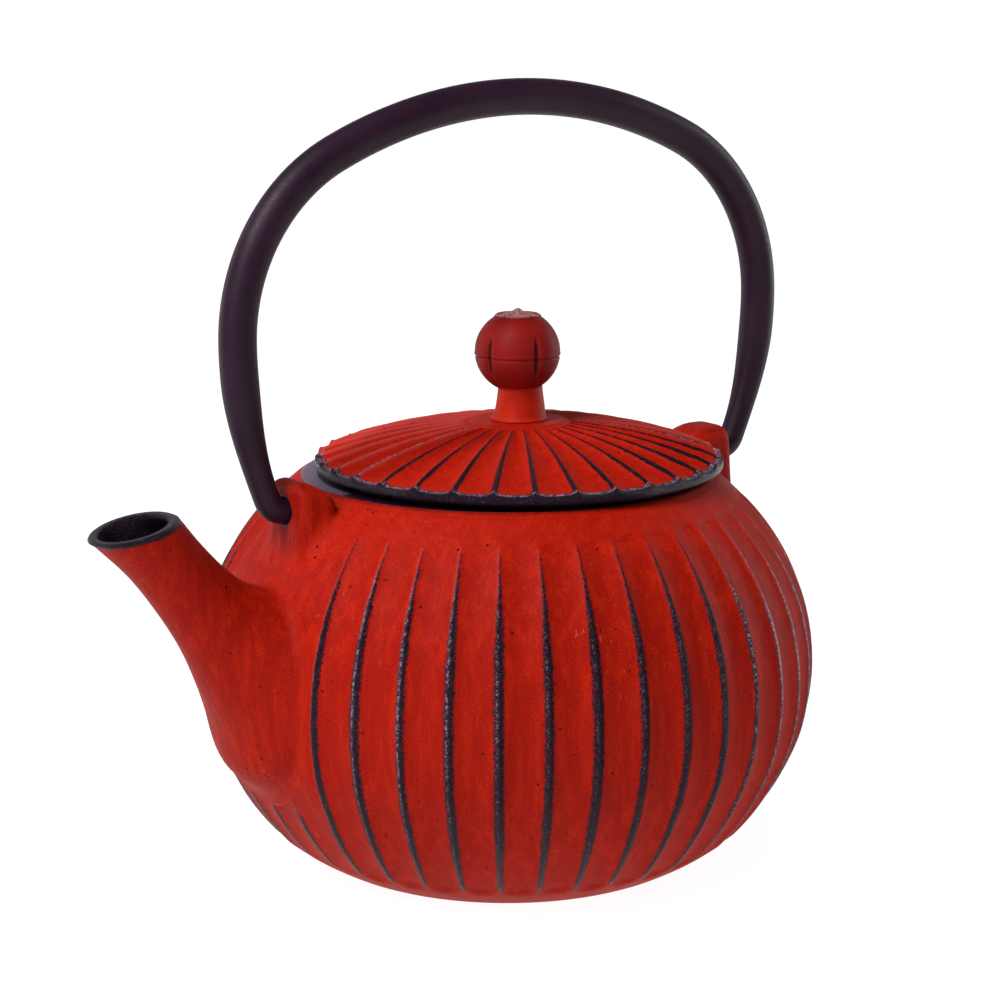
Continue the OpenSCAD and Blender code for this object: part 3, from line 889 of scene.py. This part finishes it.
def enamel():
    """Red enamel over black: the black shows where the mask of black and painted light is
    above zero; painted highlights, glints, shade and the rim's painted sheen come from
    further masks.
    """
    n = Nodes("fluted_enamel")
    broad = n.noise(30.0, 2.0)
    mid = n.noise(900.0, 3.0)
    grain = n.noise(2400.0, 3.0, 0.65)
    streak = n.noise(420.0, 4.0, 0.6, stretch=(1.0, 1.0, 0.1))
    lines = n.noise(1100.0, 2.0, 0.6, stretch=(1.0, 1.0, 0.07), distortion=0.15)
    ragged = n.math("ADD", n.attr("wear"), centred(n, grain, 2.8))
    ragged = n.math("ADD", ragged, centred(n, mid, 0.8))
    black = n.ramp(ragged, -0.05, 0.05)
    red = n.mix(n.ramp(broad, 0.3, 0.7, 0.35, 0.0), RED, RED_DEEP)
    # painted shade: darker maroon where the lugs, the spout and the lower wall are shaded
    red = n.mix(n.attr("deep"), red, SHADE_MAROON)
    red = n.mix(n.ramp(streak, 0.4, 0.7, 0.0, 0.5), red, RED_WARM)
    red = n.mix(n.ramp(grain, 0.36, 0.56, 0.65, 0.0), red, RED_DEEP)
    red = n.mix(n.ramp(grain, 0.55, 0.7, 0.0, 0.5), red, RED_WARM)
    scratch = n.math("MULTIPLY", n.ramp(lines, 0.66, 0.74),
                     n.ramp(broad, 0.5, 0.62, 0.0, 0.5))
    red = n.mix(scratch, red, PINK)
    # painted highlight: pink over the red along the crests
    pale = n.attr("pale")
    red = n.mix(pale, red, PINK)
    pits = n.voronoi(330.0)
    pit = n.math("MULTIPLY", n.ramp(pits, 0.17, 0.06), n.ramp(mid, 0.5, 0.6))
    red = n.mix(pit, red, PIT)
    # painted glints: lilac specks over the black
    dark = n.mix(n.ramp(grain, 0.62, 0.69, 0.0, 0.42), BLACK, GLINT_LILAC)
    # painted highlight on the black crests: grainy lilac glints, becoming a smooth pale pink
    # line where strongest
    grains = n.math("MULTIPLY", n.ramp(grain, 0.45, 0.55, 0.3, 2.4),
                    n.ramp(mid, 0.42, 0.56, 0.3, 1.0))
    grains = n.math("MAXIMUM", grains, n.ramp(pale, 0.5, 0.75))
    glint = n.math("MULTIPLY", pale, grains)
    bright = n.mix(n.ramp(pale, 0.45, 0.7), HIGHLIGHT_LILAC, HIGHLIGHT_PINK)
    dark = n.mix(n.ramp(glint, 0.0, 1.0), dark, bright)
    # painted sheen: lilac grey over the black on the rim's top
    dark = n.mix(n.ramp(n.attr("deep"), 0.85, 1.0), dark, RIM_SHEEN_GREY)
    n.link(n.mix(black, red, dark), n.bsdf.inputs["Base Color"])
    rough = n.mix(black, (0.6, 0.6, 0.6, 1.0), (0.4, 0.4, 0.4, 1.0))
    n.link(rough, n.bsdf.inputs["Roughness"])
    n.bsdf.inputs["Specular IOR Level"].default_value = 0.045
    n.link(n.ramp(black, 0.0, 1.0, 0.08, 0.78), n.bsdf.inputs["Coat Weight"])
    n.bsdf.inputs["Coat IOR"].default_value = 1.2
    n.bsdf.inputs["Coat Roughness"].default_value = 0.2
    h = n.math("ADD", n.math("MULTIPLY", grain, 0.8), n.math("MULTIPLY", mid, 0.6))
    h = n.math("SUBTRACT", h, n.math("MULTIPLY", pit, 0.7))
    speck = n.math("MULTIPLY", black, n.noise(2600.0, 2.0, 0.7))
    h = n.math("ADD", h, n.math("MULTIPLY", speck, 4.0))
    relief = n.bump(h, 0.7, 0.00025)
    n.link(relief, n.bsdf.inputs["Normal"])
    n.link(relief, n.bsdf.inputs["Coat Normal"])
    return n.mat


def knob_enamel():
    """The ball is a darker, smoother red than its neck, and its flower is paler: worn paint
    and a painted sheen on the flat top.
    """
    n = Nodes("knob_enamel")
    broad = n.noise(120.0, 3.0)
    grain = n.noise(2100.0, 3.0, 0.6)
    neck = n.mix(n.ramp(broad, 0.3, 0.7), RED, RED_WARM)
    ball = n.mix(n.ramp(broad, 0.3, 0.7), (0.165, 0.0042, 0.0042, 1.0),
                 (0.225, 0.006, 0.005, 1.0))
    red = n.mix(n.attr("ball"), neck, ball)
    # painted sheen and worn paint: the flat cap is a paler pink
    pale = n.mix(n.ramp(grain, 0.35, 0.65), (0.24, 0.05, 0.05, 1.0), (0.42, 0.24, 0.23, 1.0))
    red = n.mix(n.attr("cap"), red, pale)
    line = n.ramp(n.math("ADD", n.attr("wear"), centred(n, grain, 0.6)), -0.05, 0.1)
    red = n.mix(line, red, (0.06, 0.002, 0.003, 1.0))
    n.link(red, n.bsdf.inputs["Base Color"])
    n.link(n.ramp(grain, 0.3, 0.7, 0.46, 0.58), n.bsdf.inputs["Roughness"])
    n.bsdf.inputs["Specular IOR Level"].default_value = 0.1
    n.link(n.bump(grain, 0.35, 0.00015), n.bsdf.inputs["Normal"])
    return n.mat


def black_enamel():
    """The handle's satin black, a little purple."""
    n = Nodes("handle_enamel")
    broad = n.noise(60.0, 3.0)
    grain = n.noise(1500.0, 3.0, 0.6)
    col = n.mix(n.ramp(broad, 0.3, 0.7), (0.0125, 0.0026, 0.0112, 1.0),
                (0.0200, 0.0060, 0.0165, 1.0))
    n.link(col, n.bsdf.inputs["Base Color"])
    n.link(n.ramp(grain, 0.3, 0.7, 0.42, 0.56), n.bsdf.inputs["Roughness"])
    n.bsdf.inputs["Specular IOR Level"].default_value = 0.16
    n.link(n.bump(grain, 0.25, 0.00012), n.bsdf.inputs["Normal"])
    return n.mat


def steel():
    n = Nodes("stainless")
    fine = n.noise(900.0, 3.0)
    col = n.mix(n.ramp(fine, 0.3, 0.7), (0.58, 0.58, 0.59, 1.0), (0.70, 0.70, 0.71, 1.0))
    n.link(col, n.bsdf.inputs["Base Color"])
    n.bsdf.inputs["Metallic"].default_value = 1.0
    n.link(n.ramp(fine, 0.3, 0.7, 0.22, 0.34), n.bsdf.inputs["Roughness"])
    n.link(n.bump(fine, 0.1, 0.00005), n.bsdf.inputs["Normal"])
    return n.mat


def floor_material():
    """White paper that lights itself, a little less near the pot."""
    n = Nodes("paper_white")
    g = n.noise(3.0, 2.0)
    n.link(n.mix(n.ramp(g, 0.2, 0.8), (0.20, 0.20, 0.20, 1.0), (0.22, 0.22, 0.22, 1.0)),
           n.bsdf.inputs["Base Color"])
    n.bsdf.inputs["Roughness"].default_value = 0.9
    n.bsdf.inputs["Specular IOR Level"].default_value = 0.0
    n.bsdf.inputs["Emission Color"].default_value = (1.0, 1.0, 1.0, 1.0)
    away = n.t.nodes.new("ShaderNodeVectorMath")
    away.operation = "LENGTH"
    n.link(n.coord, away.inputs[0])
    n.link(n.ramp(away.outputs["Value"], 0.15, 1.1, 0.95, 1.0),
           n.bsdf.inputs["Emission Strength"])
    return n.mat


def dress(obj, mat):
    obj.data.materials.clear()
    obj.data.materials.append(mat)


casting = make_casting()
lid = make_lid()
knob = make_knob()
handle = make_handle()
make_strainer()

iron = enamel()
metal = steel()
dress(casting, iron)
dress(lid, iron)
dress(knob, knob_enamel())
dress(handle, black_enamel())
STEEL_PIECES = ("mesh_", "basket_", "knob_screw", "knob_washer")
for obj in bpy.context.scene.objects:
    if obj.type == "MESH" and obj.name.startswith(STEEL_PIECES):
        dress(obj, metal)

# ---------------------------------------------------------------- stage
sheet = bpy.data.meshes.new("floor")
sheet.from_pydata([(-60, -60, 0), (60, -60, 0), (60, 60, 0), (-60, 60, 0)], [],
                  [(0, 1, 2, 3)])
floor = bpy.data.objects.new("floor", sheet)
bpy.context.scene.collection.objects.link(floor)
dress(floor, floor_material())


FORWARD = Vector((math.sin(RIGHT_AZ), -math.cos(RIGHT_AZ), 0))     # toward the viewer
RIGHT = Vector(VIEW_RIGHT)
UP = Vector((0, 0, 1))
CENTRE = Vector((0, 0, 0.07))


def soft(name, turn, rise, reach, size, watts):
    """A soft box: turn is degrees to the left of the camera, rise is above level."""
    t, e = math.radians(turn), math.radians(rise)
    at = CENTRE + reach * (math.cos(e) * (FORWARD * math.cos(t) - RIGHT * math.sin(t))
                           + UP * math.sin(e))
    data = bpy.data.lights.new(name, "AREA")
    data.shape = "RECTANGLE"
    data.size, data.size_y = size
    data.energy = watts
    lamp = bpy.data.objects.new(name, data)
    lamp.location = at
    lamp.rotation_mode = "QUATERNION"
    lamp.rotation_quaternion = (CENTRE - at).to_track_quat("-Z", "Y")
    lamp.visible_camera = False
    bpy.context.scene.collection.objects.link(lamp)


soft("key", 38, 17, 0.95, (0.2, 0.5), 1.5)
soft("high_left", 46, 52, 1.0, (0.45, 0.4), 11.0)
soft("front", 5, 35, 1.2, (0.5, 0.4), 0.8)
soft("edge_right", -122, 14, 0.8, (0.08, 0.5), 2.0)
soft("edge_left", 118, 14, 0.8, (0.12, 0.5), 0.9)
soft("backdrop", 180, 20, 1.3, (1.8, 0.5), 2.0)

world = bpy.data.worlds.new("white")
world.use_nodes = True
tree = world.node_tree
backdrop = tree.nodes["Background"]
backdrop.inputs["Color"].default_value = (1, 1, 1, 1)
# white behind the pot, but only a dim fill on it
path = tree.nodes.new("ShaderNodeLightPath")
level = tree.nodes.new("ShaderNodeMapRange")
level.inputs["To Min"].default_value = 0.12
level.inputs["To Max"].default_value = 1.0
tree.links.new(path.outputs["Is Camera Ray"], level.inputs["Value"])
tree.links.new(level.outputs["Result"], backdrop.inputs["Strength"])
bpy.context.scene.world = world
bpy.context.scene.view_settings.view_transform = "Standard"

cam_data = bpy.data.cameras.new("camera")
cam = bpy.data.objects.new("camera", cam_data)
bpy.context.scene.collection.objects.link(cam)
cam_data.sensor_width = 36
cam_data.lens = 90
cam_data.clip_start, cam_data.clip_end = 0.02, 20
elevation = math.radians(12)
aim = Vector((0, 0, 0.08558))
to_cam = FORWARD * math.cos(elevation) + UP * math.sin(elevation)
cam.location = aim + to_cam * 0.605
cam.rotation_mode = "QUATERNION"
cam.rotation_quaternion = to_cam.to_track_quat("Z", "Y")
cam_data.shift_x = -0.00696
bpy.context.scene.camera = cam
